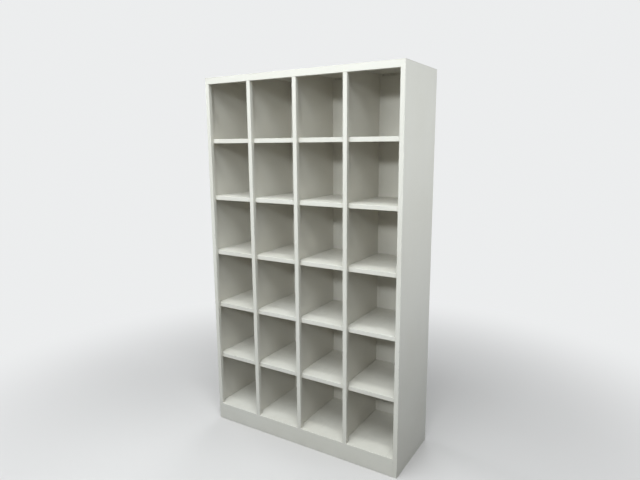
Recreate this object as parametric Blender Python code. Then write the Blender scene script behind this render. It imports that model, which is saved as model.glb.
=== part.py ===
# Open shoe locker of folded and painted sheet steel: columns of pigeonholes
# between full height partitions, on a plinth with levelling feet inside it.
# Metres, +Z up, origin on the floor under the middle, front towards -Y.

from math import cos, pi, radians, sin

import bmesh
import bpy
from mathutils import Vector

# Overall size
WIDTH = 1.000
DEPTH = 0.350
HEIGHT = 1.720
COLUMNS = 4
ROWS = 6

# Sheet steel
SHEET = 0.0008
BEND_INSIDE = 0.0008    # inner radius of every fold
BEND_STEPS = 2          # facets round a fold
RELIEF = 0.004          # corner left unfolded next to another fold
GAP = 0.0003            # between pieces that touch on the real locker

# Front frame
STILE_WIDTH = 0.020
STILE_RETURN = 0.018
TOP_RAIL = 0.030
TOP_RAIL_RETURN = 0.015
PLINTH_HEIGHT = 0.085
PLINTH_RETURN = 0.020

# Shelves
SHELF_LIP = 0.020
SHELF_HEM = 0.008       # height of the lip's folded back edge
SHELF_FLANGE = 0.012    # down the sides and the rear
SHELF_SETBACK = 0.002   # from the stile returns back to the lip

# Hidden flanges that the panels are welded by
SIDE_REAR_FLANGE = 0.016
PARTITION_REAR_FLANGE = 0.012
TOP_SIDE_FLANGE = 0.025
TOP_REAR_FLANGE = 0.008
DECK_FLANGE = 0.012
BACK_FLOOR_GAP = 0.002  # under the back panel

# Levelling feet
FOOT_REACH = 0.045      # from a side panel to a foot's axis
FOOT_SETBACK = 0.070    # from the front or rear plane to a foot's axis
FOOT_TRAVEL = 0.015
FOOT_LIFT = 0.001       # under a pad that is wound right in
PAD_RADIUS = 0.018
PAD_HEIGHT = 0.010
PAD_CHAMFER = 0.002
SPIGOT_RADIUS = 0.004   # stem's lower end, which turns in the pad
SPIGOT_DEPTH = 0.005
STEM_RADIUS = 0.005
STEM_CHAMFER = 0.001
STEM_SPARE = 0.003      # thread above the nut at full travel
COLLAR_FLATS = 0.014    # spanner collar of the stem
COLLAR_HEIGHT = 0.006
COLLAR_CLEARANCE = 0.005
NUT_FLATS = 0.017
NUT_HEIGHT = 0.008
BRACKET_SHEET = 0.002
BRACKET_OVERHANG = 0.030    # beyond the foot's axis, away from the side panel
BRACKET_DEPTH = 0.060
BRACKET_FLANGE = 0.040
BRACKET_HOLE_CLEARANCE = 0.001
TURN_STEPS = 24         # facets round a turned piece, a multiple of six
SHARP_ANGLE = radians(40)

# Finishes: base colour, metallic, roughness
FINISHES = {
    "ivory_paint": ((0.700, 0.690, 0.600), 0.0, 0.38),
    "zinc_steel": ((0.560, 0.570, 0.580), 1.0, 0.35),
    "black_plastic": ((0.030, 0.030, 0.032), 0.0, 0.55),
}

half_width = WIDTH / 2
front = -DEPTH / 2
rear = DEPTH / 2
wall_inside = half_width - SHEET
bend_radius = SHEET + BEND_INSIDE
back_outside = rear - SHEET - GAP
back_inside = back_outside - SHEET
rail_underside = HEIGHT - TOP_RAIL
top_underside = HEIGHT - SHEET
frame_end = half_width - STILE_WIDTH + bend_radius - GAP
column_pitch = (WIDTH - STILE_WIDTH) / COLUMNS
clear_height = (rail_underside - PLINTH_HEIGHT - (ROWS - 1) * SHELF_LIP) / ROWS

pad_top = FOOT_LIFT + PAD_HEIGHT
collar_bottom = pad_top + GAP
collar_top = collar_bottom + COLLAR_HEIGHT
bracket_underside = collar_top + COLLAR_CLEARANCE
nut_bottom = bracket_underside + BRACKET_SHEET + GAP
nut_top = nut_bottom + NUT_HEIGHT
stem_top = nut_top + FOOT_TRAVEL + STEM_SPARE


def clear_scene():
    for thing in list(bpy.data.objects):
        bpy.data.objects.remove(thing, do_unlink=True)


def make_finish(name):
    colour, metallic, roughness = FINISHES[name]
    finish = bpy.data.materials.new(name)
    finish.use_nodes = True
    shader = finish.node_tree.nodes["Principled BSDF"]
    shader.inputs["Base Color"].default_value = (*colour, 1.0)
    shader.inputs["Metallic"].default_value = metallic
    shader.inputs["Roughness"].default_value = roughness
    return finish


def add_face(mesh, corners, outside):
    face = mesh.faces.new(corners)
    face.normal_update()
    if face.normal.dot(outside) < 0:
        face.normal_flip()


# A leg is (length, start trim, end trim): how far the sheet goes on after a
# square fold, and how much shorter than the edge before it the leg is.
def leg(length, start_trim=0.0, end_trim=0.0):
    return length, start_trim, end_trim


def add_legs(mesh, edge, away, outside, legs, radius):
    along = (edge[1].co - edge[0].co).normalized()
    for index, (length, _, _) in enumerate(legs):
        starts = [vert.co.copy() for vert in edge]
        for step in range(1, BEND_STEPS + 1):
            angle = pi / 2 * step / BEND_STEPS
            shift = away * radius * sin(angle) - outside * radius * (1 - cos(angle))
            row = [mesh.verts.new(start + shift) for start in starts]
            add_face(mesh, (edge[0], edge[1], row[1], row[0]), outside + away)
            edge = row
        away, outside = -outside, away
        is_last = index == len(legs) - 1
        flat = length - radius if is_last else length - 2 * radius
        far = [mesh.verts.new(vert.co + away * flat) for vert in edge]
        loop = [edge[0], edge[1], far[1], far[0]]
        if not is_last and any(legs[index + 1][1:]):
            _, start_trim, end_trim = legs[index + 1]
            inner = [
                mesh.verts.new(far[0].co + along * start_trim),
                mesh.verts.new(far[1].co - along * end_trim),
            ]
            loop[3:3] = [inner[1], inner[0]]
            far = inner
        add_face(mesh, loop, outside)
        edge = far


# Outer skin of a flat panel with folded edges. The outline's corners are
# named, in order round the panel, and each fold names the two it runs between.
# A folded side of the outline is the line where its bend begins.
def folded_mesh(name, outline, outside, folds, radius=bend_radius):
    outside = Vector(outside)
    mesh = bmesh.new()
    corners = {label: mesh.verts.new(point) for label, point in outline.items()}
    middle = sum((vert.co for vert in corners.values()), Vector()) / len(corners)
    add_face(mesh, list(corners.values()), outside)
    for (start, end), legs in folds.items():
        edge = [corners[start], corners[end]]
        away = (edge[1].co - edge[0].co).normalized().cross(outside)
        if away.dot(edge[0].co - middle) < 0:
            away.negate()
        add_legs(mesh, edge, away, outside.copy(), legs, radius)
    data = bpy.data.meshes.new(name)
    mesh.to_mesh(data)
    mesh.free()
    return data


def add_piece(name, data, finish, location=(0.0, 0.0, 0.0), parent=None):
    piece = bpy.data.objects.new(name, data)
    piece.location = location
    piece.parent = parent
    if not data.materials:
        data.materials.append(finish)
    bpy.context.scene.collection.objects.link(piece)
    return piece


def add_sheet(name, data, finish, location=(0.0, 0.0, 0.0), sheet=SHEET):
    piece = add_piece(name, data, finish, location)
    thickness = piece.modifiers.new("Sheet", "SOLIDIFY")
    thickness.thickness = sheet
    thickness.offset = -1.0
    thickness.use_even_offset = True
    return piece


def add_empty(name, location):
    empty = bpy.data.objects.new(name, None)
    empty.location = location
    bpy.context.scene.collection.objects.link(empty)
    return empty


# Rings of a turned piece are (height, radius, is hexagon). A hexagon's radius
# is half its width across flats. A closed piece has a bore through it.
def turned_mesh(name, rings, is_closed=False):
    mesh = bmesh.new()
    rows = []
    for height, radius, is_hexagon in rings:
        row = []
        for step in range(TURN_STEPS):
            turn = 2 * pi * step / TURN_STEPS
            reach = radius
            if is_hexagon:
                reach = radius / cos(turn % (pi / 3) - pi / 6)
            row.append(mesh.verts.new((reach * cos(turn), reach * sin(turn), height)))
        rows.append(row)
    pairs = list(zip(rows, rows[1:]))
    if is_closed:
        pairs.append((rows[-1], rows[0]))
    else:
        mesh.faces.new(list(reversed(rows[0])))
        mesh.faces.new(rows[-1])
    for lower, upper in pairs:
        for step in range(TURN_STEPS):
            after = (step + 1) % TURN_STEPS
            mesh.faces.new((lower[step], lower[after], upper[after], upper[step]))
    data = bpy.data.meshes.new(name)
    mesh.to_mesh(data)
    mesh.free()
    data.shade_smooth()
    data.set_sharp_from_angle(angle=SHARP_ANGLE)
    return data


# Radius of a faceted bore whose flats clear a shaft of this radius
def bore_radius(shaft_radius, clearance=GAP):
    return (shaft_radius + clearance) / cos(pi / TURN_STEPS)


def stile_left(index):
    return -half_width + index * column_pitch


def shelf_top(row):
    return PLINTH_HEIGHT + row * (clear_height + SHELF_LIP)


def make_side_panel(name, side, finish):
    x = side * half_width
    outline = {
        "front_foot": (x, front + bend_radius, 0.0),
        "front_head": (x, front + bend_radius, HEIGHT),
        "rear_head": (x, rear - bend_radius, HEIGHT),
        "rear_foot": (x, rear - bend_radius, 0.0),
    }
    folds = {
        ("front_foot", "front_head"): [
            leg(STILE_WIDTH),
            leg(STILE_RETURN, PLINTH_HEIGHT + GAP, TOP_RAIL + GAP),
        ],
        ("rear_foot", "rear_head"): [leg(SIDE_REAR_FLANGE)],
    }
    add_sheet(name, folded_mesh(name, outline, (side, 0, 0), folds), finish)


def make_partition(index, finish):
    name = f"partition_{index}"
    foot = PLINTH_HEIGHT + GAP
    stile_head = rail_underside - GAP
    head = top_underside - GAP
    rail_notch = front + TOP_RAIL_RETURN + GAP
    wall_rear = back_inside - GAP - bend_radius
    outline = {
        "front_foot": (0.0, front + bend_radius, foot),
        "front_head": (0.0, front + bend_radius, stile_head),
        "notch": (0.0, rail_notch, stile_head),
        "notch_head": (0.0, rail_notch, head),
        "rear_head": (0.0, wall_rear, head),
        "rear_foot": (0.0, wall_rear, foot),
    }
    folds = {
        ("front_foot", "front_head"): [leg(STILE_WIDTH), leg(STILE_RETURN)],
        ("rear_foot", "rear_head"): [leg(PARTITION_REAR_FLANGE)],
    }
    data = folded_mesh(name, outline, (-1, 0, 0), folds)
    add_sheet(name, data, finish, (stile_left(index), 0.0, 0.0))


def make_back_panel(finish):
    reach = wall_inside - GAP
    outline = {
        "left_foot": (-reach, back_outside, BACK_FLOOR_GAP),
        "right_foot": (reach, back_outside, BACK_FLOOR_GAP),
        "right_head": (reach, back_outside, top_underside - GAP),
        "left_head": (-reach, back_outside, top_underside - GAP),
    }
    add_sheet("back_panel", folded_mesh("back_panel", outline, (0, 1, 0), {}), finish)


# Outline of a level panel whose four folded stretches stop short of its
# corners: the front one at front_reach either side of the middle, and so on.
def level_outline(reach, level, front_line, rear_line, front_reach, rear_reach, side_ends):
    near, far = side_ends
    return {
        "front_left": (-reach, front_line, level),
        "front_start": (-front_reach, front_line, level),
        "front_end": (front_reach, front_line, level),
        "front_right": (reach, front_line, level),
        "right_start": (reach, near, level),
        "right_end": (reach, far, level),
        "rear_right": (reach, rear_line, level),
        "rear_start": (rear_reach, rear_line, level),
        "rear_end": (-rear_reach, rear_line, level),
        "rear_left": (-reach, rear_line, level),
        "left_start": (-reach, far, level),
        "left_end": (-reach, near, level),
    }


def level_folds(front_legs, side_legs, rear_legs):
    return {
        ("front_start", "front_end"): front_legs,
        ("right_start", "right_end"): side_legs,
        ("rear_start", "rear_end"): rear_legs,
        ("left_start", "left_end"): side_legs,
    }


def make_top_panel(finish):
    front_line = front + bend_radius
    rear_line = rear - bend_radius
    outline = level_outline(
        reach=wall_inside - GAP - bend_radius,
        level=HEIGHT,
        front_line=front_line,
        rear_line=rear_line,
        front_reach=frame_end,
        rear_reach=half_width - SIDE_REAR_FLANGE - GAP,
        side_ends=(front_line + RELIEF, back_inside - RELIEF),
    )
    folds = level_folds(
        [leg(TOP_RAIL), leg(TOP_RAIL_RETURN)], [leg(TOP_SIDE_FLANGE)], [leg(TOP_REAR_FLANGE)]
    )
    add_sheet("top_panel", folded_mesh("top_panel", outline, (0, 0, 1), folds), finish)


def make_base_deck(finish):
    reach = wall_inside - GAP - bend_radius
    front_line = front + bend_radius
    rear_line = back_inside - GAP - bend_radius
    outline = level_outline(
        reach=reach,
        level=PLINTH_HEIGHT,
        front_line=front_line,
        rear_line=rear_line,
        front_reach=frame_end,
        rear_reach=reach - RELIEF,
        side_ends=(front_line + RELIEF, rear_line - RELIEF),
    )
    folds = level_folds(
        [leg(PLINTH_HEIGHT), leg(PLINTH_RETURN)], [leg(DECK_FLANGE)], [leg(DECK_FLANGE)]
    )
    add_sheet("base_deck", folded_mesh("base_deck", outline, (0, 0, 1), folds), finish)


def make_shelf_column(column, finish):
    left = -wall_inside if column == 0 else stile_left(column) + SHEET
    right = wall_inside if column == COLUMNS - 1 else stile_left(column + 1)
    reach = (right - left) / 2 - GAP - bend_radius
    front_line = front + STILE_RETURN + SHELF_SETBACK + bend_radius
    rear_line = back_inside - SHEET - 2 * GAP - bend_radius
    hem_width = 2 * bend_radius + GAP
    outline = level_outline(
        reach=reach,
        level=0.0,
        front_line=front_line,
        rear_line=rear_line,
        front_reach=reach - GAP,
        rear_reach=reach - RELIEF,
        side_ends=(front_line + hem_width + RELIEF, rear_line - RELIEF),
    )
    folds = level_folds(
        [leg(SHELF_LIP), leg(hem_width), leg(SHELF_HEM)], [leg(SHELF_FLANGE)], [leg(SHELF_FLANGE)]
    )
    data = folded_mesh(f"shelf_column_{column + 1}", outline, (0, 0, 1), folds)
    for row in range(1, ROWS):
        name = f"shelf_row{row}_col{column + 1}"
        add_sheet(name, data, finish, ((left + right) / 2, 0.0, shelf_top(row)))


def make_foot_bracket(place, side, axis, finish):
    name = f"{place}_foot_bracket"
    radius = BRACKET_SHEET + BEND_INSIDE
    wall_line = side * (wall_inside - GAP - radius)
    free_end = axis.x - side * BRACKET_OVERHANG
    near = axis.y - BRACKET_DEPTH / 2
    far = axis.y + BRACKET_DEPTH / 2
    outline = {
        "wall_near": (wall_line, near, bracket_underside),
        "wall_far": (wall_line, far, bracket_underside),
        "free_far": (free_end, far, bracket_underside),
        "free_near": (free_end, near, bracket_underside),
    }
    folds = {("wall_near", "wall_far"): [leg(BRACKET_FLANGE)]}
    data = folded_mesh(name, outline, (0, 0, -1), folds, radius)
    bracket = add_sheet(name, data, finish, sheet=BRACKET_SHEET)
    hole_radius = bore_radius(STEM_RADIUS, BRACKET_HOLE_CLEARANCE)
    hole_ends = (bracket_underside - BRACKET_SHEET, bracket_underside + 2 * BRACKET_SHEET)
    hole_rings = [(height, hole_radius, False) for height in hole_ends]
    hole = add_piece(f"{name}_hole", turned_mesh(f"{name}_hole", hole_rings), finish, axis)
    hole.hide_render = True
    hole.display_type = "WIRE"
    cut = bracket.modifiers.new("Stem hole", "BOOLEAN")
    cut.operation = "DIFFERENCE"
    cut.solver = "EXACT"
    cut.object = hole


def make_foot(place, side, end, finishes):
    axis = Vector((side * (wall_inside - FOOT_REACH), end * (rear - FOOT_SETBACK), 0.0))
    make_foot_bracket(place, side, axis, finishes["ivory_paint"])
    foot = add_empty(f"{place}_foot_axis", axis)

    bore = bore_radius(STEM_RADIUS)
    nut_rings = [
        (nut_bottom, bore, False),
        (nut_bottom, NUT_FLATS / 2, True),
        (nut_top, NUT_FLATS / 2, True),
        (nut_top, bore, False),
    ]
    nut = turned_mesh(f"{place}_foot_nut", nut_rings, is_closed=True)
    add_piece(f"{place}_foot_nut", nut, finishes["zinc_steel"], parent=foot)

    socket = bore_radius(SPIGOT_RADIUS)
    socket_floor = pad_top - SPIGOT_DEPTH - GAP
    pad_rings = [
        (FOOT_LIFT, PAD_RADIUS - PAD_CHAMFER, False),
        (FOOT_LIFT + PAD_CHAMFER, PAD_RADIUS, False),
        (pad_top - PAD_CHAMFER, PAD_RADIUS, False),
        (pad_top, PAD_RADIUS - PAD_CHAMFER, False),
        (pad_top, socket, False),
        (socket_floor, socket, False),
    ]
    pad = turned_mesh(f"{place}_foot_pad", pad_rings)
    add_piece(f"{place}_foot_pad", pad, finishes["black_plastic"], parent=foot)

    stem_rings = [
        (pad_top - SPIGOT_DEPTH, SPIGOT_RADIUS, False),
        (collar_bottom, SPIGOT_RADIUS, False),
        (collar_bottom, COLLAR_FLATS / 2, True),
        (collar_top, COLLAR_FLATS / 2, True),
        (collar_top, STEM_RADIUS, False),
        (stem_top - STEM_CHAMFER, STEM_RADIUS, False),
        (stem_top, STEM_RADIUS - STEM_CHAMFER, False),
    ]
    stem = turned_mesh(f"{place}_foot_stem", stem_rings)
    add_piece(f"{place}_foot_stem", stem, finishes["zinc_steel"], parent=foot)


def main():
    clear_scene()
    finishes = {name: make_finish(name) for name in FINISHES}
    paint = finishes["ivory_paint"]
    make_side_panel("left_side_panel", -1, paint)
    make_side_panel("right_side_panel", 1, paint)
    make_back_panel(paint)
    make_top_panel(paint)
    make_base_deck(paint)
    for index in range(1, COLUMNS):
        make_partition(index, paint)
    for column in range(COLUMNS):
        make_shelf_column(column, paint)
    for end_name, end in (("front", -1), ("rear", 1)):
        for side_name, side in (("left", -1), ("right", 1)):
            make_foot(f"{end_name}_{side_name}", side, end, finishes)


main()
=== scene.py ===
# Open shoe locker: painted folds, welds and feet, a plain studio and the camera
import math
import random

import bmesh
import bpy
from mathutils import Matrix, Vector


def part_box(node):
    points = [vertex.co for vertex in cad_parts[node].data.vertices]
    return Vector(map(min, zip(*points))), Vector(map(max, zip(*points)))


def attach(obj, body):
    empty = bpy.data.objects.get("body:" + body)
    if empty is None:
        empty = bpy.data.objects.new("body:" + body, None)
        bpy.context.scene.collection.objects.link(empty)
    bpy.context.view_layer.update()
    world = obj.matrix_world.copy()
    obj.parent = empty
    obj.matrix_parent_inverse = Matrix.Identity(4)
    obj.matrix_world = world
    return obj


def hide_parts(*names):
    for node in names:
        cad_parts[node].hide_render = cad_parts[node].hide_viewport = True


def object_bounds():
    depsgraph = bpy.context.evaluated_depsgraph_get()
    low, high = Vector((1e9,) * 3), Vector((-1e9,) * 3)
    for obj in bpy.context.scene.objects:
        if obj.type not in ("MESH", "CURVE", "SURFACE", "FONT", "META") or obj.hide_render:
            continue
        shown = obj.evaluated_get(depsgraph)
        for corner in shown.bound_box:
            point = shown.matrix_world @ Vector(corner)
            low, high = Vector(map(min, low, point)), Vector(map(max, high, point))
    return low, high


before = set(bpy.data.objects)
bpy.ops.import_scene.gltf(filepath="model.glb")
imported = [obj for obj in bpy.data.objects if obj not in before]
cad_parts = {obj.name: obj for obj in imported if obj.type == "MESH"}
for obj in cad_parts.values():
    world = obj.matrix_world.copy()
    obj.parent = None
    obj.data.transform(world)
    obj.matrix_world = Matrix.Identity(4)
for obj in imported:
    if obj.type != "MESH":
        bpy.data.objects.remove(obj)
cadBox = [list(corner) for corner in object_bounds()]


class Wire:
    # A socket that sums can be written on. A Wire with no socket only starts nodes.
    def __init__(self, tree, socket=None):
        self.tree = tree
        self.socket = socket

    def node(self, kind, settings=None, sockets=None, out=0):
        made = self.tree.nodes.new(kind)
        for name, value in (settings or {}).items():
            setattr(made, name, value)
        for name, value in (sockets or {}).items():
            if isinstance(value, Wire):
                self.tree.links.new(value.socket, made.inputs[name])
            else:
                made.inputs[name].default_value = value
        return Wire(self.tree, made.outputs[out])

    def maths(self, operation, first, second=0.0):
        return self.node("ShaderNodeMath", {"operation": operation}, {0: first, 1: second})

    def __add__(self, other):
        return self.maths("ADD", self, other)

    def __radd__(self, other):
        return self.maths("ADD", other, self)

    def __sub__(self, other):
        return self.maths("SUBTRACT", self, other)

    def __rsub__(self, other):
        return self.maths("SUBTRACT", other, self)

    def __mul__(self, other):
        return self.maths("MULTIPLY", self, other)

    def __rmul__(self, other):
        return self.maths("MULTIPLY", other, self)

    def __truediv__(self, other):
        return self.maths("DIVIDE", self, other)


# Shader pieces that the finishes share
def noise(vector, scale, detail=2.0):
    sockets = {"Vector": vector, "Scale": scale, "Detail": detail}
    return vector.node("ShaderNodeTexNoise", None, sockets)


def stretched(vector, scale):
    settings = {"operation": "MULTIPLY"}
    return vector.node("ShaderNodeVectorMath", settings, {0: vector, 1: scale})


def ease(value, low, high):  # 0 below low, 1 above high
    sockets = {"Value": value, "From Min": low, "From Max": high}
    return value.node("ShaderNodeMapRange", {"interpolation_type": "SMOOTHSTEP"}, sockets)


def blendColour(factor, first, second):
    return factor.node("ShaderNodeMix", {"data_type": "RGBA"}, {0: factor, 6: first, 7: second}, 2)


def attribute(start, name):
    return start.node("ShaderNodeAttribute", {"attribute_name": name}, None, "Fac")


def split(vector):
    made = vector.node("ShaderNodeSeparateXYZ", None, {0: vector})
    outputs = made.socket.node.outputs
    return [Wire(vector.tree, outputs[axis]) for axis in "XYZ"]


def newFinish(name):
    finish = bpy.data.materials.new(name)
    finish.use_nodes = True
    tree = finish.node_tree
    start = Wire(tree)
    place = start.node("ShaderNodeTexCoord", None, None, "Object")
    return finish, start, place


def wireShader(finish, constants, varying, height):
    tree = finish.node_tree
    shader = tree.nodes["Principled BSDF"]
    for name, value in constants.items():
        shader.inputs[name].default_value = value
    for name, wire in varying.items():
        tree.links.new(wire.socket, shader.inputs[name])
    bump = height.node("ShaderNodeBump", None, {"Strength": 1.0, "Distance": 1.0, "Height": height})
    tree.links.new(bump.socket, shader.inputs["Normal"])


ivoryPaint = {
    "colour": (0.726, 0.703, 0.640, 1.0),
    "deeper": (0.684, 0.657, 0.586, 1.0),
    # used for dirt, and also for painted shade along the top edge and along the laps of the back
    "soilAndShade": (0.30, 0.28, 0.23, 1.0),
    "chip": (0.23, 0.22, 0.20, 1.0),
    "roughness": 0.36,
    "orangePeel": 0.000010,
    "waviness": 0.00045,
    "chipDepth": 0.00012,
    "soilHeight": 0.070,
    # depth of the painted shade along the top edge
    "topShadeLineHeight": 0.004,
    "specular": 0.45,
    "scale": {              # of each noise, larger for finer
        "clouds": 2.3,
        "mottle": 46.0,
        "rubPatches": 7.0,
        "dust": 26.0,
        "mop": 11.0,
        "lapShadeAndDust": 60.0,
        "chips": 210.0,
        "chipPatches": 13.0,
        "peel": 420.0,
        "waves": 3.4,
    },
    "stretch": {            # scale along each axis
        "rubs": (95.0, 6.0, 20.0),
        "smears": (9.0, 9.0, 2.2),
    },
    "limits": {             # levels between which a mark fades in
        "upward": (0.6, 0.95),
        "clouds": (0.3, 0.7),
        "rubs": (0.60, 0.74),
        "rubPatches": (0.46, 0.66),
        "dust": (0.40, 0.80),
        "mop": (0.32, 0.75),
        "smears": (0.56, 0.80),
        "lapShadeAndDust": (0.30, 0.70),
        "chips": (0.63, 0.68),
        "chipPatches": (0.58, 0.70),
        "edge": (0.35, 0.75),
    },
    "share": {              # how far a mark takes the colour
        "clouds": 0.75,
        "mottle": 0.25,
        "rubs": 0.10,
        "dust": 0.08,
        "mop": 0.10,
        "smears": 0.05,
        "lapShadeAndDust": 0.45,
        "edge": 0.03,
        # painted shade along the top edge
        "rim": 0.22,
        "chips": 0.75,
    },
    "lapShadeAndDustLeast": 0.35,
    "lapShadeAndDustMore": 0.65,
    "roughen": {            # what a mark adds to the roughness
        "mottle": 0.10,
        "rubs": 0.10,
        "dust": 0.16,
        "mop": 0.20,
        "chips": 0.15,
        "lapShadeAndDust": 0.12,
    },
    "mottleMiddle": 0.05,   # taken off, so that the mottle goes both ways
    "smearGloss": 0.05,
}


def makeIvoryPaint(settings):
    finish, start, place = newFinish("ivoryPaint")
    scale, stretch, limits = settings["scale"], settings["stretch"], settings["limits"]
    share, roughen = settings["share"], settings["roughen"]
    normal = start.node("ShaderNodeNewGeometry", None, None, "Normal")
    level = split(place)[2]
    upward = ease(split(normal)[2], *limits["upward"])
    edge = attribute(start, "edge")
    tone = attribute(start, "tone")
    shadeAndGrime = attribute(start, "shadeAndGrime")

    # Coats are never quite even: broad clouds, then a fine mottle
    clouds = noise(place, scale["clouds"], 3.0)
    mottle = noise(place, scale["mottle"], 3.0)
    depth = share["clouds"] * ease(clouds, *limits["clouds"]) + share["mottle"] * mottle + tone
    colour = blendColour(depth, settings["colour"], settings["deeper"])

    # Shoe soles rub the shelves in and out, in patches
    rubs = ease(noise(stretched(place, stretch["rubs"]), 1.0, 2.0), *limits["rubs"])
    rubs = rubs * ease(noise(place, scale["rubPatches"], 1.0), *limits["rubPatches"]) * upward
    dust = upward * ease(noise(place, scale["dust"], 4.0), *limits["dust"])
    colour = blendColour(share["rubs"] * rubs + share["dust"] * dust, colour, settings["soilAndShade"])

    # Mop marks rise a little from the floor, and hands leave faint smears
    nearFloor = 1.0 - ease(level, 0.0, settings["soilHeight"])
    mop = nearFloor * ease(noise(place, scale["mop"], 4.0), *limits["mop"])
    smears = ease(noise(stretched(place, stretch["smears"]), 1.0, 3.0), *limits["smears"])
    colour = blendColour(share["mop"] * mop + share["smears"] * smears, colour, settings["soilAndShade"])

    # Dust settles in weld marks. Along the laps of the back, at the edges of the flanges, the darkening is
    # painted shade with some dust
    lapShadeAndDust = ease(noise(place, scale["lapShadeAndDust"], 3.0), *limits["lapShadeAndDust"])
    lapShadeAndDust = shadeAndGrime * (settings["lapShadeAndDustLeast"] + settings["lapShadeAndDustMore"] * lapShadeAndDust)
    colour = blendColour(share["lapShadeAndDust"] * lapShadeAndDust, colour, settings["soilAndShade"])

    # Raw edges and folds are worn: a faint line, and a few chips down to primer. The top 4 mm are darkened
    # with painted shade along the top edge, and the whole top face is darkened with them
    top = cadBox[1][2]
    rim = ease(level, top - settings["topShadeLineHeight"], top)
    chips = ease(noise(place, scale["chips"], 3.0), *limits["chips"])
    chips = chips * ease(noise(place, scale["chipPatches"], 1.0), *limits["chipPatches"])
    chips = chips * ease(edge, *limits["edge"])
    colour = blendColour(share["edge"] * edge + share["rim"] * rim, colour, settings["soilAndShade"])
    colour = blendColour(share["chips"] * chips, colour, settings["chip"])

    roughness = settings["roughness"] - settings["mottleMiddle"] + roughen["mottle"] * mottle
    roughness = roughness + roughen["rubs"] * rubs + roughen["dust"] * dust
    roughness = roughness + roughen["mop"] * mop - settings["smearGloss"] * smears
    roughness = roughness + roughen["chips"] * chips + roughen["lapShadeAndDust"] * lapShadeAndDust
    peel = settings["orangePeel"] * noise(place, scale["peel"], 1.0)
    waves = settings["waviness"] * noise(place, scale["waves"], 1.0)
    bump = peel + waves - settings["chipDepth"] * chips
    varying = {"Base Color": colour, "Roughness": roughness}
    constants = {"Metallic": 0.0, "Specular IOR Level": settings["specular"]}
    wireShader(finish, constants, varying, bump)
    return finish


zincSteel = {
    "bright": (0.66, 0.67, 0.68, 1.0),
    "dull": (0.42, 0.43, 0.45, 1.0),
    "stain": (0.30, 0.24, 0.17, 1.0),
    "roughness": 0.30,
    "spangleScale": 420.0,
    "spangleRoughness": 0.16,
    "stainScale": 130.0,
    "stainLimits": (0.58, 0.72),
    "stainShare": 0.45,
    "stainRoughness": 0.22,
    "stainDulling": 0.4,
    "grain": 0.000008,
    "grainScale": 900.0,
}


def makeZincSteel(settings):
    finish, start, place = newFinish("zincSteel")
    sockets = {"Vector": place, "Scale": settings["spangleScale"]}
    cells = start.node("ShaderNodeTexVoronoi", None, sockets, "Color")
    spangle = split(cells)[0]
    colour = blendColour(spangle, settings["bright"], settings["dull"])
    stain = ease(noise(place, settings["stainScale"], 4.0), *settings["stainLimits"])
    colour = blendColour(settings["stainShare"] * stain, colour, settings["stain"])
    roughness = settings["roughness"] + settings["spangleRoughness"] * spangle
    roughness = roughness + settings["stainRoughness"] * stain
    metallic = 1.0 - settings["stainDulling"] * stain
    varying = {"Base Color": colour, "Roughness": roughness, "Metallic": metallic}
    wireShader(finish, {}, varying, settings["grain"] * noise(place, settings["grainScale"], 2.0))
    return finish


blackPlastic = {
    "colour": (0.022, 0.022, 0.024, 1.0),
    "dust": (0.17, 0.16, 0.145, 1.0),
    "roughness": 0.48,
    "upwardLimits": (0.2, 0.9),
    "dustAround": 0.15,
    "dustOnTop": 0.5,
    "dustScale": 160.0,
    "dustLimits": (0.40, 0.70),
    "dustRoughness": 0.30,
    "grain": 0.000030,
    "grainScale": 1400.0,
    "grainRoughness": 0.12,
}


def makeBlackPlastic(settings):
    finish, start, place = newFinish("blackPlastic")
    normal = start.node("ShaderNodeNewGeometry", None, None, "Normal")
    upward = ease(split(normal)[2], *settings["upwardLimits"])
    dust = settings["dustAround"] + settings["dustOnTop"] * upward
    dust = dust * ease(noise(place, settings["dustScale"], 4.0), *settings["dustLimits"])
    colour = blendColour(dust, settings["colour"], settings["dust"])
    grain = noise(place, settings["grainScale"], 2.0)
    roughness = settings["roughness"] + settings["grainRoughness"] * grain
    roughness = roughness + settings["dustRoughness"] * dust
    varying = {"Base Color": colour, "Roughness": roughness}
    wireShader(finish, {"Metallic": 0.0}, varying, settings["grain"] * grain)
    return finish


paint = makeIvoryPaint(ivoryPaint)
zinc = makeZincSteel(zincSteel)
plastic = makeBlackPlastic(blackPlastic)
print("finishes: paint, zinc and plastic made")


# Folded sheet: the outer skin of a flat blank with square folds, then its thickness
sheetMetal = {
    "insideBend": 0.0008,
    "bendSteps": 6,
    "gap": 0.0003,          # between sheets that touch
    "relief": 0.004,        # corner left unfolded next to another fold
    "edgeBand": 0.005,      # width of the worn band beside edges and folds
    "bandShare": 0.25,      # of a flat that is too narrow for that
    "sharpAngle": math.radians(32),
}
backLow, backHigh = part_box("back_panel")
sheet = backHigh.y - backLow.y
bend = sheet + sheetMetal["insideBend"]
gap = sheetMetal["gap"]
front, rear = cadBox[0][1], cadBox[1][1]
halfWidth, height = cadBox[1][0], cadBox[1][2]
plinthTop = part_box("base_deck")[1].z
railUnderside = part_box("top_panel")[0].z
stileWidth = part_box("right_side_panel")[1].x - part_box("right_side_panel")[0].x
columns = 1 + sum(name.startswith("partition_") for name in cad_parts)
rows = 1 + sum(name.startswith("shelf_") and name.endswith("_col1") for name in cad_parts)


def faceOut(mesh, corners, outward):
    face = mesh.faces.new(corners)
    face.normal_update()
    if face.normal.dot(outward) < 0:
        face.normal_flip()


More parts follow.
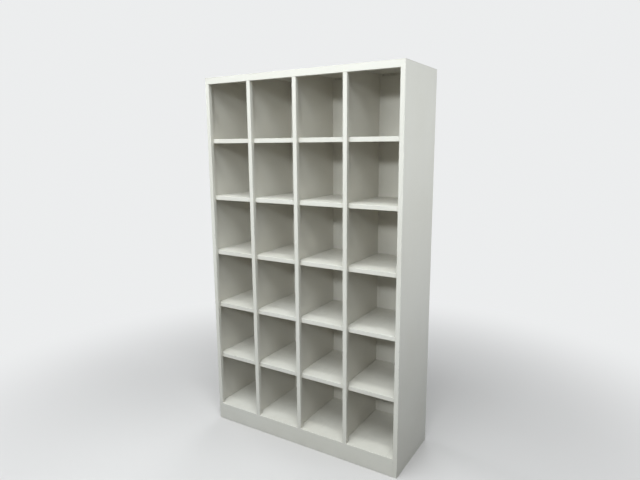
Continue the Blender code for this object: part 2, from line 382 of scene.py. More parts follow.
# A flat with a band round it: the band carries the wear and keeps the middle's shading flat
def addFlat(mesh, corners, outward, ceiling=math.inf):
    worn = mesh.verts.layers.float["edge"]
    places = [vert.co for vert in corners]
    limits = []
    for axis in range(3):
        low = min(place[axis] for place in places)
        high = max(place[axis] for place in places)
        if axis == 2:
            high = min(high, ceiling)
        reach = min(sheetMetal["edgeBand"], sheetMetal["bandShare"] * (high - low))
        limits.append((low + reach, high - reach))
    inner = {}
    ring = []
    for place in places:
        spot = tuple(min(max(value, low), high) for value, (low, high) in zip(place, limits))
        if spot not in inner:
            inner[spot] = mesh.verts.new(spot)
        ring.append(inner[spot])
    for index, corner in enumerate(corners):
        ahead = (index + 1) % len(corners)
        side = [corner, corners[ahead], ring[ahead], ring[index]]
        faceOut(mesh, list(dict.fromkeys(side)), outward)
    faceOut(mesh, list(dict.fromkeys(ring)), outward)
    for vert in corners:
        vert[worn] = 1.0


# Each leg of a fold is (length, trim at its start, trim at its end)
def addLegs(mesh, edge, away, outward, legs):
    along = (edge[1].co - edge[0].co).normalized()
    steps = sheetMetal["bendSteps"]
    worn = mesh.verts.layers.float["edge"]
    for index, leg in enumerate(legs):
        starts = [vert.co.copy() for vert in edge]
        for step in range(1, steps + 1):
            angle = math.pi / 2 * step / steps
            shift = away * bend * math.sin(angle) - outward * bend * (1 - math.cos(angle))
            row = [mesh.verts.new(start + shift) for start in starts]
            faceOut(mesh, (edge[0], edge[1], row[1], row[0]), outward + away)
            edge = row
            for vert in row:
                vert[worn] = 1.0
        away, outward = -outward, away
        isLast = index == len(legs) - 1
        flat = leg[0] - bend if isLast else leg[0] - 2 * bend
        far = [mesh.verts.new(vert.co + away * flat) for vert in edge]
        loop = [edge[0], edge[1], far[1], far[0]]
        if not isLast and any(legs[index + 1][1:]):
            trims = legs[index + 1][1:]
            inner = [
                mesh.verts.new(far[0].co + along * trims[0]),
                mesh.verts.new(far[1].co - along * trims[1]),
            ]
            loop[3:3] = [inner[1], inner[0]]
            far = inner
        addFlat(mesh, loop, outward)
        edge = far


def foldedSkin(name, outline, outward, folds, ceiling=math.inf):
    outward = Vector(outward)
    mesh = bmesh.new()
    mesh.verts.layers.float.new("edge")
    corners = {label: mesh.verts.new(point) for label, point in outline.items()}
    middle = sum((vert.co for vert in corners.values()), Vector()) / len(corners)
    addFlat(mesh, list(corners.values()), outward, ceiling)
    for (start, end), legs in folds.items():
        edge = [corners[start], corners[end]]
        away = (edge[1].co - edge[0].co).normalized().cross(outward)
        if away.dot(edge[0].co - middle) < 0:
            away.negate()
        addLegs(mesh, edge, away, outward.copy(), legs)
    data = bpy.data.meshes.new(name)
    mesh.to_mesh(data)
    mesh.free()
    return data


def newObject(name, data):
    piece = bpy.data.objects.new(name, data)
    bpy.context.scene.collection.objects.link(piece)
    return piece


# Turns what the modifiers make into the piece's own plain mesh
def settle(piece):
    graph = bpy.context.evaluated_depsgraph_get()
    data = bpy.data.meshes.new_from_object(
        piece.evaluated_get(graph), preserve_all_data_layers=True, depsgraph=graph
    )
    piece.modifiers.clear()
    piece.data = data
    data.name = piece.name
    return piece


def smoothFlats(piece):
    piece.data.shade_smooth()
    piece.data.set_sharp_from_angle(angle=sheetMetal["sharpAngle"])
    weights = piece.modifiers.new("flatness", "WEIGHTED_NORMAL")
    weights.keep_sharp = True
    return settle(piece)


def addThickness(piece):
    thickness = piece.modifiers.new("sheet", "SOLIDIFY")
    thickness.thickness = sheet
    thickness.offset = -1.0
    thickness.use_even_offset = True
    return settle(piece)


def handOver(piece, body, slotName, finish, *nodes):
    piece.data.materials.clear()
    piece.data.materials.append(finish)
    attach(piece, body)
    if nodes:
        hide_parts(*nodes)


def addSheet(name, skin, *nodes):
    piece = smoothFlats(addThickness(newObject(name, skin)))
    handOver(piece, "carcass", "ivory_paint", paint, *nodes)
    return piece


sidePanel = {
    "stileReturn": 0.018,
    "rearFlange": 0.016,
    "polish": 0.0001,       # ground back so that the weld marks stay inside the box
}


def makeSidePanel(name, side):
    x = side * (halfWidth - sidePanel["polish"])
    outline = {
        "frontFoot": (x, front + bend, 0.0),
        "frontHead": (x, front + bend, height),
        "rearHead": (x, rear - bend, height),
        "rearFoot": (x, rear - bend, 0.0),
    }
    foot = plinthTop + gap
    head = height - railUnderside + gap
    stile = stileWidth - sidePanel["polish"]
    folds = {
        ("frontFoot", "frontHead"): [(stile, 0, 0), (sidePanel["stileReturn"], foot, head)],
        ("rearFoot", "rearHead"): [(sidePanel["rearFlange"], 0, 0)],
    }
    skin = foldedSkin(name, outline, (side, 0, 0), folds)
    addSheet(name.replace("_panel", "_sheet"), skin, name)


partition = {
    "stileReturn": 0.018,
    "rearFlange": 0.012,
}


def makePartition(index):
    name = f"partition_{index}"
    low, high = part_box(name)
    notch = front + topPanel["railReturn"] + gap
    stileHead = railUnderside - gap
    outline = {
        "frontFoot": (low.x, front + bend, low.z),
        "frontHead": (low.x, front + bend, stileHead),
        "notch": (low.x, notch, stileHead),
        "notchHead": (low.x, notch, high.z),
        "rearHead": (low.x, high.y - bend, high.z),
        "rearFoot": (low.x, high.y - bend, low.z),
    }
    folds = {
        ("frontFoot", "frontHead"): [(high.x - low.x, 0, 0), (partition["stileReturn"], 0, 0)],
        ("rearFoot", "rearHead"): [(partition["rearFlange"], 0, 0)],
    }
    addSheet(f"{name}_sheet", foldedSkin(name, outline, (-1, 0, 0), folds, stileHead), name)


# A level blank whose folded stretches stop short of its corners
def levelOutline(middle, reach, level, lines, frontReach, rearReach, sideEnds):
    near, far = lines
    start, end = sideEnds
    return {
        "frontLeft": (middle - reach, near, level),
        "frontStart": (middle - frontReach, near, level),
        "frontEnd": (middle + frontReach, near, level),
        "frontRight": (middle + reach, near, level),
        "rightStart": (middle + reach, start, level),
        "rightEnd": (middle + reach, end, level),
        "rearRight": (middle + reach, far, level),
        "rearStart": (middle + rearReach, far, level),
        "rearEnd": (middle - rearReach, far, level),
        "rearLeft": (middle - reach, far, level),
        "leftStart": (middle - reach, end, level),
        "leftEnd": (middle - reach, start, level),
    }


def levelFolds(frontLegs, sideLength, rearLength):
    return {
        ("frontStart", "frontEnd"): frontLegs,
        ("rightStart", "rightEnd"): [(sideLength, 0, 0)],
        ("rearStart", "rearEnd"): [(rearLength, 0, 0)],
        ("leftStart", "leftEnd"): [(sideLength, 0, 0)],
    }


topPanel = {
    "railReturn": 0.015,
    "sideFlange": 0.025,
    "rearFlange": 0.008,
}


def makeTopPanel():
    low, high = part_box("top_panel")
    frameEnd = halfWidth - stileWidth + bend - gap
    rearReach = halfWidth - sidePanel["rearFlange"] - gap
    lines = (low.y + bend, high.y - bend)
    sideEnds = (lines[0] + sheetMetal["relief"], backLow.y - sheetMetal["relief"])
    outline = levelOutline(0.0, high.x - bend, high.z, lines, frameEnd, rearReach, sideEnds)
    rail = [(high.z - low.z, 0, 0), (topPanel["railReturn"], 0, 0)]
    folds = levelFolds(rail, topPanel["sideFlange"], topPanel["rearFlange"])
    addSheet("top_sheet", foldedSkin("top", outline, (0, 0, 1), folds), "top_panel")


baseDeck = {
    "floorReturn": 0.020,
    "flange": 0.012,
}


def makeBaseDeck():
    low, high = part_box("base_deck")
    frameEnd = halfWidth - stileWidth + bend - gap
    reach = high.x - bend
    lines = (low.y + bend, high.y - bend)
    sideEnds = (lines[0] + sheetMetal["relief"], lines[1] - sheetMetal["relief"])
    rearReach = reach - sheetMetal["relief"]
    outline = levelOutline(0.0, reach, high.z, lines, frameEnd, rearReach, sideEnds)
    plinth = [(high.z - low.z, 0, 0), (baseDeck["floorReturn"], 0, 0)]
    folds = levelFolds(plinth, baseDeck["flange"], baseDeck["flange"])
    addSheet("base_sheet", foldedSkin("base", outline, (0, 0, 1), folds), "base_deck")


for panelName, panelSide in (("left_side_panel", -1), ("right_side_panel", 1)):
    makeSidePanel(panelName, panelSide)
makeTopPanel()
makeBaseDeck()
for partitionIndex in range(1, columns):
    makePartition(partitionIndex)
print("carcass: sides, top, base and", columns - 1, "partitions folded")


# Geometry trees: what repeats along the sheets or follows a path
def newTree(name, inputs):
    tree = bpy.data.node_groups.new(name, "GeometryNodeTree")
    kinds = {"Geometry": "NodeSocketGeometry", "Finish": "NodeSocketMaterial", **inputs}
    for label, kind in kinds.items():
        tree.interface.new_socket(label, in_out="INPUT", socket_type=kind)
    tree.interface.new_socket("Geometry", in_out="OUTPUT", socket_type="NodeSocketGeometry")
    source = tree.nodes.new("NodeGroupInput")
    wires = {label: Wire(tree, source.outputs[label]) for label in kinds}
    return tree, Wire(tree), wires


def closeTree(tree, shape, finish):
    whole = shape.node("GeometryNodeRealizeInstances", None, {"Geometry": shape})
    coated = shape.node("GeometryNodeSetMaterial", None, {"Geometry": whole, "Material": finish})
    result = tree.nodes.new("NodeGroupOutput")
    tree.links.new(coated.socket, result.inputs["Geometry"])
    return tree


def runTree(piece, tree, values):
    modifier = piece.modifiers.new(tree.name, "NODES")
    modifier.node_group = tree
    for item in tree.interface.items_tree:
        if item.in_out == "INPUT" and item.name in values:
            modifier[item.identifier] = values[item.name]
    return settle(piece)


def shelfStackTree():
    inputs = {
        "Shelves": "NodeSocketInt",
        "Lowest Top": "NodeSocketFloat",
        "Spacing": "NodeSocketFloat",
        "Tone Spread": "NodeSocketFloat",
        "Seed": "NodeSocketInt",
    }
    tree, start, wires = newTree("shelfStack", inputs)
    lowest = start.node("ShaderNodeCombineXYZ", None, {"Z": wires["Lowest Top"]})
    spacing = start.node("ShaderNodeCombineXYZ", None, {"Z": wires["Spacing"]})
    sockets = {"Count": wires["Shelves"], "Start Location": lowest, "Offset": spacing}
    levels = start.node("GeometryNodeMeshLine", {"mode": "OFFSET"}, sockets)
    stack = start.node(
        "GeometryNodeInstanceOnPoints", None, {"Points": levels, "Instance": wires["Geometry"]}
    )
    sockets = {2: -1.0 * wires["Tone Spread"], 3: wires["Tone Spread"], "Seed": wires["Seed"]}
    tone = start.node("FunctionNodeRandomValue", {"data_type": "FLOAT"}, sockets, 1)
    settings = {"data_type": "FLOAT", "domain": "INSTANCE"}
    sockets = {"Geometry": stack, "Name": "tone", "Value": tone}
    stack = start.node("GeometryNodeStoreNamedAttribute", settings, sockets)
    return closeTree(tree, stack, wires["Finish"])


shelf = {
    "hem": 0.008,           # height of the lip's folded back edge
    "flange": 0.012,
    "toneSpread": 0.12,
    "seed": 7,
}


def makeShelves(column, tree):
    nodes = [f"shelf_row{row}_col{column}" for row in range(1, rows)]
    low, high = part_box(nodes[0])
    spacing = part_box(nodes[1])[1].z - high.z
    reach = (high.x - low.x) / 2 - bend
    lines = (low.y + bend, high.y - bend)
    hemWidth = 2 * bend + gap
    relief = sheetMetal["relief"]
    sideEnds = (lines[0] + hemWidth + relief, lines[1] - relief)
    middle = (low.x + high.x) / 2
    outline = levelOutline(middle, reach, 0.0, lines, reach - gap, reach - relief, sideEnds)
    lip = [(high.z - low.z, 0, 0), (hemWidth, 0, 0), (shelf["hem"], 0, 0)]
    folds = levelFolds(lip, shelf["flange"], shelf["flange"])
    skin = foldedSkin("shelf", outline, (0, 0, 1), folds)
    piece = smoothFlats(addThickness(newObject(f"shelves_col{column}", skin)))
    values = {
        "Shelves": rows - 1,
        "Lowest Top": high.z,
        "Spacing": spacing,
        "Tone Spread": shelf["toneSpread"],
        "Seed": shelf["seed"] + column,
        "Finish": paint,
    }
    runTree(piece, tree, values)
    handOver(piece, "carcass", "ivory_paint", paint, *nodes)


shelfTree = shelfStackTree()
for columnNumber in range(1, columns + 1):
    makeShelves(columnNumber, shelfTree)
print("shelves:", columns, "columns of", rows - 1)


def shelfTops():
    return [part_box(f"shelf_row{row}_col1")[1].z for row in range(1, rows)]


backPanel = {
    "bow": (0.0002, 0.0008),    # each field between welds stands out by some of this
    "steps": 8,                 # grid steps across a field
    # width of the painted shade, with some dust, beside the laps
    "lapShadeAndDustBand": 0.005,
    "seed": 11,
}


def fieldLines(lines, extra):
    steps = backPanel["steps"]
    filled = [a + (b - a) * step / steps for a, b in zip(lines, lines[1:]) for step in range(steps)]
    return sorted({round(value, 6) for value in filled + [lines[-1]] + extra})


# Where a value lies among lines: the field's number and 0 to 1 across it
def fieldShare(lines, value):
    last = len(lines) - 2
    field = max(index for index in range(last + 1) if index == 0 or lines[index] <= value + gap)
    return field, (value - lines[field]) / (lines[field + 1] - lines[field])


# The back is spot welded to partitions and shelves, and bows out a little between the welds
def makeBackPanel():
    low, high = backLow, backHigh
    draws = random.Random(backPanel["seed"])
    shift = partition["rearFlange"] / 2
    welds = [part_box(f"partition_{index}")[0].x + shift for index in range(1, columns)]
    uprights = [low.x] + welds + [high.x]
    levels = [low.z] + [top - shelf["flange"] / 2 for top in shelfTops()] + [high.z]
    bows = [[draws.uniform(*backPanel["bow"]) for _ in levels[1:]] for _ in uprights[1:]]
    band = backPanel["lapShadeAndDustBand"]
    sideLap = halfWidth - sidePanel["rearFlange"]
    topLap = height - topPanel["rearFlange"]
    across = fieldLines(uprights, [-sideLap, band - sideLap, sideLap - band, sideLap])
    upward = fieldLines(levels, [topLap - band, topLap])
    mesh = bmesh.new()
    worn = mesh.verts.layers.float.new("edge")
    shadedDustyLap = mesh.verts.layers.float.new("shadeAndGrime")
    grid = []
    for z in upward:
        row = []
        for x in across:
            column, u = fieldShare(uprights, x)
            level, v = fieldShare(levels, z)
            bow = bows[column][level] * (math.sin(math.pi * u) * math.sin(math.pi * v)) ** 2
            vert = mesh.verts.new((x, high.y + bow, z))
            vert[worn] = float(z == upward[0])
            # The laps under the side and top flanges, and a band beside them, are darkened: painted shade
            # with some dust
            vert[shadedDustyLap] = float(abs(x) > sideLap - gap or z > topLap - gap)
            row.append(vert)
        grid.append(row)
    for lower, upper in zip(grid, grid[1:]):
        for index in range(len(across) - 1):
            corners = (lower[index], lower[index + 1], upper[index + 1], upper[index])
            faceOut(mesh, corners, Vector((0, 1, 0)))
    data = bpy.data.meshes.new("back")
    mesh.to_mesh(data)
    mesh.free()
    addSheet("back_sheet", data, "back_panel")


makeBackPanel()
print("back: bowed between", columns * rows, "fields of welds")


weldMark = {
    "rimSides": 12,
    "sectionSides": 4,
}


def weldMarkTree():
    inputs = {
        "Mark Radius": "NodeSocketFloat",
        "Rim Radius": "NodeSocketFloat",
        "Flatness": "NodeSocketFloat",
        "Spread": "NodeSocketFloat",
        "Grime": "NodeSocketFloat",
        "Seed": "NodeSocketInt",
    }
    tree, start, wires = newTree("weldMarks", inputs)
    circle = "GeometryNodeCurvePrimitiveCircle"
    sockets = {"Radius": wires["Mark Radius"], "Resolution": weldMark["rimSides"]}
    rim = start.node(circle, None, sockets)
    sockets = {"Radius": wires["Rim Radius"], "Resolution": weldMark["sectionSides"]}
    section = start.node(circle, None, sockets)
    mark = start.node("GeometryNodeCurveToMesh", None, {"Curve": rim, "Profile Curve": section})
    squeeze = start.node("ShaderNodeCombineXYZ", None, {"X": 1.0, "Y": 1.0, "Z": wires["Flatness"]})
    mark = start.node("GeometryNodeTransform", None, {"Geometry": mark, "Scale": squeeze})
    settings = {"data_type": "FLOAT_VECTOR"}
    facing = start.node("GeometryNodeInputNamedAttribute", settings, {"Name": "facing"})
    turn = start.node("FunctionNodeAlignRotationToVector", {"axis": "Z"}, {"Vector": facing})
    sockets = {2: 1.0 - wires["Spread"], 3: 1.0 + wires["Spread"], "Seed": wires["Seed"]}
    size = start.node("FunctionNodeRandomValue", {"data_type": "FLOAT"}, sockets, 1)
    sockets = {"Points": wires["Geometry"], "Instance": mark, "Rotation": turn, "Scale": size}
    marks = start.node("GeometryNodeInstanceOnPoints", None, sockets)
    settings = {"data_type": "FLOAT", "domain": "INSTANCE"}
    sockets = {"Geometry": marks, "Name": "shadeAndGrime", "Value": wires["Grime"]}
    marks = start.node("GeometryNodeStoreNamedAttribute", settings, sockets)
    return closeTree(tree, marks, wires["Finish"])


sideMarks = {               # ground back before painting, so hardly there
    "Mark Radius": 0.0024,
    "Rim Radius": 0.0006,
    "Flatness": 0.12,
    "Spread": 0.12,
    "Grime": 0.0,
    "Seed": 3,
    "perFlange": 6,
    "frontMargin": 0.010,
    "rearMargin": 0.016,
    "topDrop": 0.017,
}
backMarks = {               # left as welded
    "Mark Radius": 0.0028,
    "Rim Radius": 0.0012,
    "Flatness": 0.22,
    "Spread": 0.14,
    "Grime": 1.0,
    "Seed": 5,
    "perShelf": 3,
    "perPartition": 12,
}


def evenly(count, first, last):
    return [first + (last - first) * index / (count - 1) for index in range(count)]


# Marks are pairs of place and outward direction
def sideMarkPlaces():
    drop = shelf["flange"] / 2
    levels = [level - drop for level in [plinthTop] + shelfTops()] + [height - sideMarks["topDrop"]]
    ends = (front + sideMarks["frontMargin"], rear - sideMarks["rearMargin"])
    depths = evenly(sideMarks["perFlange"], *ends)
    x = halfWidth - sidePanel["polish"]
    return [((side * x, y, z), (side, 0, 0)) for side in (-1, 1) for z in levels for y in depths]


def backMarkPlaces():
    drop = shelf["flange"] / 2
    margin = partition["rearFlange"] + drop
    heights = evenly(backMarks["perPartition"], plinthTop + drop, railUnderside)
    spots = []
    for index in range(1, columns):
        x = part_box(f"partition_{index}")[0].x + partition["rearFlange"] / 2
        spots += [(x, z) for z in heights]
    for column in range(1, columns + 1):
        low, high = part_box(f"shelf_row1_col{column}")
        reach = evenly(backMarks["perShelf"], low.x + margin, high.x - margin)
        spots += [(x, top - drop) for top in shelfTops() for x in reach]
    return [((x, backHigh.y, z), (0, 1, 0)) for x, z in spots]


def makeWeldMarks(name, settings, places, tree):
    points = bpy.data.meshes.new("weldPoints")
    points.from_pydata([place for place, _ in places], [], [])
    facing = points.attributes.new("facing", "FLOAT_VECTOR", "POINT")
    for item, (_, direction) in zip(facing.data, places):
        item.vector = direction
    piece = newObject(name, points)
    runTree(piece, tree, {**settings, "Finish": paint})
    piece.data.shade_smooth()
    handOver(piece, "carcass", "ivory_paint", paint)
    print(name + ":", len(places))


weldTree = weldMarkTree()
makeWeldMarks("side_weld_marks", sideMarks, sideMarkPlaces(), weldTree)
makeWeldMarks("back_weld_marks", backMarks, backMarkPlaces(), weldTree)


def seamBeadTree():
    inputs = {"Bead Radius": "NodeSocketFloat", "Step": "NodeSocketFloat"}
    tree, start, wires = newTree("seamBeads", inputs)
    path = start.node("GeometryNodeMeshToCurve", None, {"Mesh": wires["Geometry"]})
    sockets = {"Curve": path, "Length": wires["Step"]}
    path = start.node("GeometryNodeResampleCurve", {"mode": "LENGTH"}, sockets)
    sockets = {"Radius": wires["Bead Radius"], "Resolution": seamBeads["sides"]}
    section = start.node("GeometryNodeCurvePrimitiveCircle", None, sockets)
    sockets = {"Curve": path, "Profile Curve": section, "Fill Caps": True}
    bead = start.node("GeometryNodeCurveToMesh", None, sockets)
    return closeTree(tree, bead, wires["Finish"])


seamBeads = {
    "Bead Radius": 0.0009,
    "Step": 0.004,
    "sides": 8,
    "sunk": 0.0010,        # depth of the bead's middle behind the front, ground flush
}


# Upright seams where the rail and the plinth butt against the outer stiles
def makeSeamBeads():
    y = front + seamBeads["sunk"]
    ends = []
    for side in (-1, 1):
        x = side * (halfWidth - stileWidth + bend - gap / 2)
        ends.append(((x, y, bend), (x, y, plinthTop - bend)))
        ends.append(((x, y, railUnderside + bend), (x, y, height - bend)))
    data = bpy.data.meshes.new("seams")
    points = [point for pair in ends for point in pair]
    data.from_pydata(points, [(2 * index, 2 * index + 1) for index in range(len(ends))], [])
    piece = newObject("frame_seams", data)
    runTree(piece, seamBeadTree(), {**seamBeads, "Finish": paint})
    piece.data.shade_smooth()
    handOver(piece, "carcass", "ivory_paint", paint)
    print("frame seams:", len(ends))


makeSeamBeads()


# Levelling feet: turned and hexagonal rings as (height, radius, is hexagon)
def turned(name, rings, steps, centre):
    mesh = bmesh.new()
    loops = []
    for level, radius, isHexagon in rings:
        row = []
        for step in range(steps):
            turn = 2 * math.pi * step / steps
            reach = radius
            if isHexagon:
                reach = radius / math.cos(turn % (math.pi / 3) - math.pi / 6)
            x = centre.x + reach * math.cos(turn)
            y = centre.y + reach * math.sin(turn)
            row.append(mesh.verts.new((x, y, level)))
        loops.append(row)
    mesh.faces.new(list(reversed(loops[0])))
    mesh.faces.new(loops[-1])
    for lower, upper in zip(loops, loops[1:]):
        for step in range(steps):
            after = (step + 1) % steps
            mesh.faces.new((lower[step], lower[after], upper[after], upper[step]))
    data = bpy.data.meshes.new(name)
    mesh.to_mesh(data)
    mesh.free()
    return newObject(name, data)


def threadTree():
    inputs = {
        "Axis": "NodeSocketVector",
        "Thread Foot": "NodeSocketFloat",
        "Thread Head": "NodeSocketFloat",
        "Pitch": "NodeSocketFloat",
        "Depth": "NodeSocketFloat",
    }
    tree, start, wires = newTree("stemThread", inputs)
    place = start.node("GeometryNodeInputPosition")
    arm = start.node("ShaderNodeVectorMath", {"operation": "SUBTRACT"}, {0: place, 1: wires["Axis"]})
    armX, armY, level = split(arm)
    turn = start.maths("ARCTAN2", armY, armX) / (2 * math.pi)
    phase = start.maths("FRACT", level / wires["Pitch"] - turn)
    groove = 1.0 - start.maths("ABSOLUTE", 2.0 * phase - 1.0)
    isThread = start.maths("GREATER_THAN", level, wires["Thread Foot"])
    isThread = isThread * start.maths("LESS_THAN", level, wires["Thread Head"])
    outward = start.node("ShaderNodeCombineXYZ", None, {"X": armX, "Y": armY})
    outward = start.node("ShaderNodeVectorMath", {"operation": "NORMALIZE"}, {0: outward})
    settings = {"operation": "SCALE"}
    sockets = {0: outward, "Scale": -1.0 * wires["Depth"] * groove * isThread}
    cut = start.node("ShaderNodeVectorMath", settings, sockets)
    shape = start.node("GeometryNodeSetPosition", None, {"Geometry": wires["Geometry"], "Offset": cut})
    return closeTree(tree, shape, wires["Finish"])


footStem = {
    "spigotRadius": 0.004,
    "collarFlats": 0.014,
    "collarHeight": 0.006,
    "collarChamfer": 0.0006,
    "threadRadius": 0.005,
    "endChamfer": 0.001,
    "runOut": 0.0005,
    "pitch": 0.0015,
    "depth": 0.0008,
    "rowsPerTurn": 8,
    "steps": 36,
}


def makeStem(place, tree):
    node = f"{place}_foot_stem"
    low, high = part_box(node)
    centre = (low + high) / 2
    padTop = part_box(f"{place}_foot_pad")[1].z
    collarFoot = padTop + gap
    collarHead = collarFoot + footStem["collarHeight"]
    flats = footStem["collarFlats"] / 2
    chamfer = footStem["collarChamfer"]
    radius = footStem["threadRadius"]
    threadFoot = collarHead + footStem["runOut"]
    threadHead = high.z - footStem["endChamfer"]
    rings = [
        (low.z, footStem["spigotRadius"], False),
        (collarFoot, footStem["spigotRadius"], False),
        (collarFoot, flats - chamfer, True),
        (collarFoot + chamfer, flats, True),
        (collarHead - chamfer, flats, True),
        (collarHead, flats - chamfer, True),
        (collarHead, radius, False),
    ]
    count = round((threadHead - collarHead) / footStem["pitch"] * footStem["rowsPerTurn"])
    rings += [(level, radius, False) for level in evenly(count, threadFoot, threadHead)]
    rings.append((high.z, radius - footStem["endChamfer"], False))
    piece = turned(f"{place}_threaded_stem", rings, footStem["steps"], centre)
    values = {
        "Axis": (centre.x, centre.y, 0.0),
        "Thread Foot": threadFoot,
        "Thread Head": threadHead + footStem["runOut"],
        "Pitch": footStem["pitch"],
        "Depth": footStem["depth"],
        "Finish": zinc,
    }
    runTree(piece, tree, values)
    piece.data.shade_smooth()
    piece.data.set_sharp_from_angle(angle=sheetMetal["sharpAngle"])
    handOver(piece, f"{place}_stem", "zinc_steel", zinc, node)


footPad = {
    "rounding": 0.002,
    "roundSteps": 5,
    "groove": 0.0006,
    "grooveCount": 3,
    "grooveStart": 0.25,    # share of the radius
    "socketRadius": 0.0043,
    "socketDepth": 0.0053,
    "steps": 60,
}


def makePad(place):
    node = f"{place}_foot_pad"
    low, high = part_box(node)
    centre = (low + high) / 2
    radius = (high.x - low.x) / 2
    rounding = footPad["rounding"]
    rings = []
    grooveStart = radius * footPad["grooveStart"]
    spread = evenly(2 * footPad["grooveCount"], grooveStart, radius - 2 * rounding)
    levels = (low.z, low.z + footPad["groove"])
    for index, reach in enumerate(spread):
        rings += [(levels[index % 2], reach, False), (levels[1 - index % 2], reach, False)]
    steps = footPad["roundSteps"]
    angles = [math.pi / 2 * step / steps for step in range(steps + 1)]
    for angle in angles:
        rise, inward = rounding * (1 - math.cos(angle)), rounding * (1 - math.sin(angle))
        rings.append((low.z + rise, radius - inward, False))
    for angle in angles:
        drop, inward = rounding * (1 - math.sin(angle)), rounding * (1 - math.cos(angle))
        rings.append((high.z - drop, radius - inward, False))
    rings.append((high.z, footPad["socketRadius"], False))
    rings.append((high.z - footPad["socketDepth"], footPad["socketRadius"], False))
    piece = turned(f"{place}_moulded_pad", rings, footPad["steps"], centre)
    piece.data.shade_smooth()
    piece.data.set_sharp_from_angle(angle=sheetMetal["sharpAngle"])
    handOver(piece, f"{place}_pad", "black_plastic", plastic, node)


stemTree = threadTree()
for footPlace in ("front_left", "front_right", "rear_left", "rear_right"):
    makeStem(footPlace, stemTree)
    makePad(footPlace)
    for nodeEnd, nodeFinish in (("foot_bracket", paint), ("foot_nut", zinc)):
        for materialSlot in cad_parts[f"{footPlace}_{nodeEnd}"].material_slots:
            materialSlot.material = nodeFinish
print("feet: threaded stems and moulded pads on, brackets and nuts finished")


# Studio: a wide pale floor that fades into the background, and soft lamps
studio = {
    "floorRadius": 14.0,
    "floorSides": 96,
    "floorColour": (0.60, 0.575, 0.56, 1.0),
    "floorGrain": (0.555, 0.53, 0.515, 1.0),
    "floorBounce": (0.13, 0.13, 0.128, 1.0),
    "floorRoughness": 0.75,
    "grainScale": 320.0,
    "grainLimits": (0.35, 0.65),
    "grainHeight": 0.00005,
    "fadeStart": 0.6,
    "fadeEnd": 2.4,
    "background": (0.84, 0.85, 0.855, 1.0),
    "sky": (0.94, 0.97, 1.0, 1.0),
    "skyStrength": 0.07,
    "lampColour": (0.908, 0.968, 1.0),
}


def seenDirectly(start):
    light = start.node("ShaderNodeLightPath")
    outputs = light.socket.node.outputs
    kinds = ("Camera", "Glossy", "Transmission")
    rays = [Wire(start.tree, outputs[f"Is {kind} Ray"]) for kind in kinds]
    return start.maths("MAXIMUM", start.maths("MAXIMUM", rays[0], rays[1]), rays[2])


def makeFloor():
    mesh = bmesh.new()
    sides, radius = studio["floorSides"], studio["floorRadius"]
    bmesh.ops.create_circle(mesh, cap_ends=True, segments=sides, radius=radius)
    data = bpy.data.meshes.new("floor")
    mesh.to_mesh(data)
    mesh.free()
    floor = newObject("floor", data)
    finish, start, place = newFinish("studioFloor")
    grain = noise(place, studio["grainScale"], 3.0)
    speckle = ease(grain, *studio["grainLimits"])
    colour = blendColour(speckle, studio["floorColour"], studio["floorGrain"])
    colour = blendColour(seenDirectly(start), studio["floorBounce"], colour)
    constants = {"Roughness": studio["floorRoughness"]}
    wireShader(finish, constants, {"Base Color": colour}, studio["grainHeight"] * grain)
    distance = start.node("ShaderNodeVectorMath", {"operation": "LENGTH"}, {0: place}, "Value")
    fade = ease(distance, studio["fadeStart"], studio["fadeEnd"]) * seenDirectly(start)
    tree = finish.node_tree
    glow = start.node("ShaderNodeEmission", None, {"Color": studio["background"]})
    matt = Wire(tree, tree.nodes["Principled BSDF"].outputs[0])
    mixed = start.node("ShaderNodeMixShader", None, {0: fade, 1: matt, 2: glow})
    tree.links.new(mixed.socket, tree.nodes["Material Output"].inputs["Surface"])
    data.materials.append(finish)


def makeSky():
    world = bpy.data.worlds.new("studioSky")
    world.use_nodes = True
    tree = world.node_tree
    start = Wire(tree)
    sockets = {"Color": studio["sky"], "Strength": studio["skyStrength"]}
    lit = start.node("ShaderNodeBackground", None, sockets)
    seen = start.node("ShaderNodeBackground", None, {"Color": studio["background"]})
    mixed = start.node("ShaderNodeMixShader", None, {0: seenDirectly(start), 1: lit, 2: seen})
    tree.links.new(mixed.socket, tree.nodes["World Output"].inputs["Surface"])
    bpy.context.scene.world = world


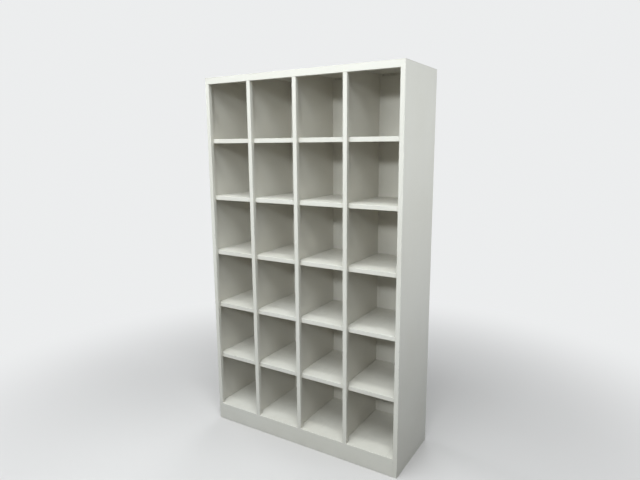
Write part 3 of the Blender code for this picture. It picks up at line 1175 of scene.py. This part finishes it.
lamps = {
    "leftStrip": {"place": (-0.6, -1.4, 2.5), "aim": (-0.6, -1.4, 0.0), "size": (1.8, 1.0), "watts": 33.5},
    "rightStrip": {"place": (1.2, -1.5, 2.5), "aim": (1.2, -1.5, 0.0), "size": (1.8, 1.0), "watts": 25.0},
    "highStrip": {"place": (0.8, -1.1, 4.5), "aim": (0.8, -1.1, 0.0), "size": (1.8, 0.6), "watts": 62.0},
    "frontBox": {"place": (0.6, -3.5, 2.4), "aim": (0.0, 0.0, 0.7), "size": (2.4, 0.3), "watts": 58.0},
    "rightBox": {"place": (3.0, 0.3, 2.2), "aim": (0.5, 0.0, 1.35), "size": (1.0, 1.0), "watts": 7.2},
    "leftBox": {"place": (-3.0, 0.3, 2.2), "aim": (-0.5, 0.0, 1.35), "size": (1.0, 1.0), "watts": 7.2},
    "rearBox": {"place": (-1.2, 3.6, 2.3), "aim": (0.0, 0.0, 0.9), "size": (2.4, 1.2), "watts": 60.0},
}
gridSpread = {"rightBox": 70, "leftBox": 70}    # degrees, so that the sides darken towards the floor
mirrored = ("rightBox", "leftBox", "rearBox")   # the others would burn out the top's gloss


def makeLamp(name, settings):
    light = bpy.data.lights.new(name, "AREA")
    light.shape = "RECTANGLE"
    light.size, light.size_y = settings["size"]
    light.energy = settings["watts"]
    light.color = studio["lampColour"]
    light.spread = math.radians(gridSpread.get(name, 180))
    lamp = newObject(name, light)
    place = Vector(settings["place"])
    lamp.location = place
    lamp.rotation_euler = (Vector(settings["aim"]) - place).to_track_quat("-Z", "Y").to_euler()
    lamp.visible_glossy = name in mirrored


photoCamera = {
    "place": (1.2563, -2.0246, 1.4066),
    "yaw": -31.464,         # degrees to the right of the locker's own front-to-back line
    "pitch": -10.462,
    "roll": -0.421,
    "lens": 28.822,
    "sensor": 36.0,
}


def makeCamera():
    yaw, pitch, roll = (math.radians(photoCamera[key]) for key in ("yaw", "pitch", "roll"))
    level = math.cos(pitch)
    ahead = Vector((math.sin(yaw) * level, math.cos(yaw) * level, math.sin(pitch)))
    right = ahead.cross(Vector((0, 0, 1))).normalized()
    up = right.cross(ahead)
    right, up = (
        math.cos(roll) * right + math.sin(roll) * up,
        math.cos(roll) * up - math.sin(roll) * right,
    )
    lensData = bpy.data.cameras.new("photoCamera")
    lensData.sensor_fit = "HORIZONTAL"
    lensData.sensor_width = photoCamera["sensor"]
    lensData.lens = photoCamera["lens"]
    camera = newObject("photoCamera", lensData)
    turn = Matrix((right, up, -ahead)).transposed().to_4x4()
    camera.matrix_world = Matrix.Translation(photoCamera["place"]) @ turn
    bpy.context.scene.camera = camera


makeFloor()
makeSky()
for lampName, lampSettings in lamps.items():
    makeLamp(lampName, lampSettings)
makeCamera()
bpy.context.scene.view_settings.view_transform = "Standard"
print("studio: floor, sky,", len(lamps), "lamps and the camera set")
